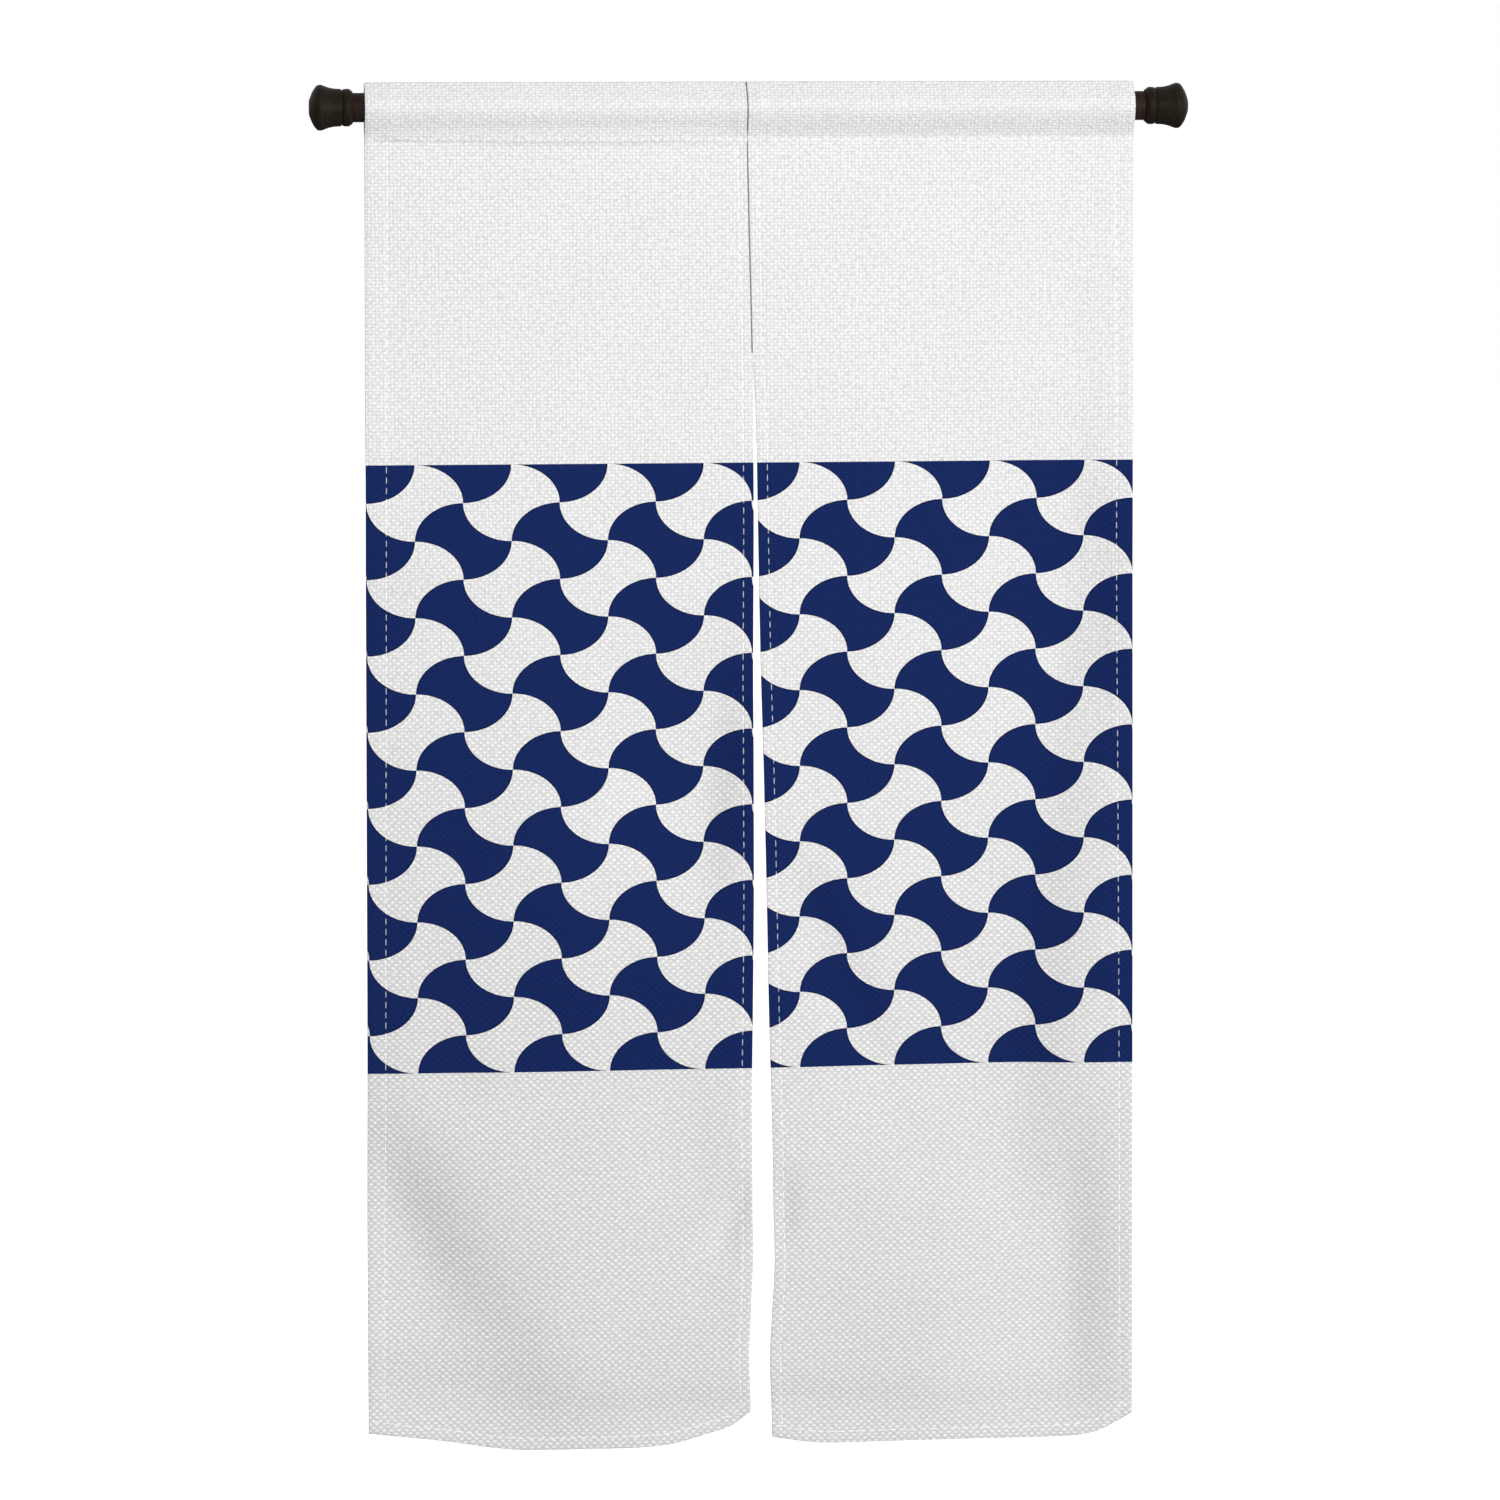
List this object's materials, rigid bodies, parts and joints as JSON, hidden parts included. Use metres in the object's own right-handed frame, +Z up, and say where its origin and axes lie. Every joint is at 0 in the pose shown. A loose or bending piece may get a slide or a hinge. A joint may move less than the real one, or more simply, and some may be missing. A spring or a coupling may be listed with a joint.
{
  "type": "two-panel noren curtain on its hanging pole with end caps",
  "caption": "White woven noren curtain split up its middle, with a navy and white interlocking pattern across it, hung by a sewn pocket on a round dark pole with turned end caps.",
  "frame": {"origin": "the middle of the pole's axis, which is the mount named hang", "axes": "+X runs along the pole to the viewer's right, -Y faces the viewer in front of the curtain, +Z is up"},
  "size_m": [0.969, 0.0498, 1.5168],
  "materials": {
    "printed_cloth": "coarse plain weave, white with a navy print",
    "stained_pole": "dark brown satin",
    "stained_cap": "dark brown satin"
  },
  "bodies": {
    "root": {"panel_left": "printed_cloth", "panel_right": "printed_cloth", "pole": "stained_pole", "cap_left": "stained_cap", "cap_right": "stained_cap"}
  },
  "joints": []
}
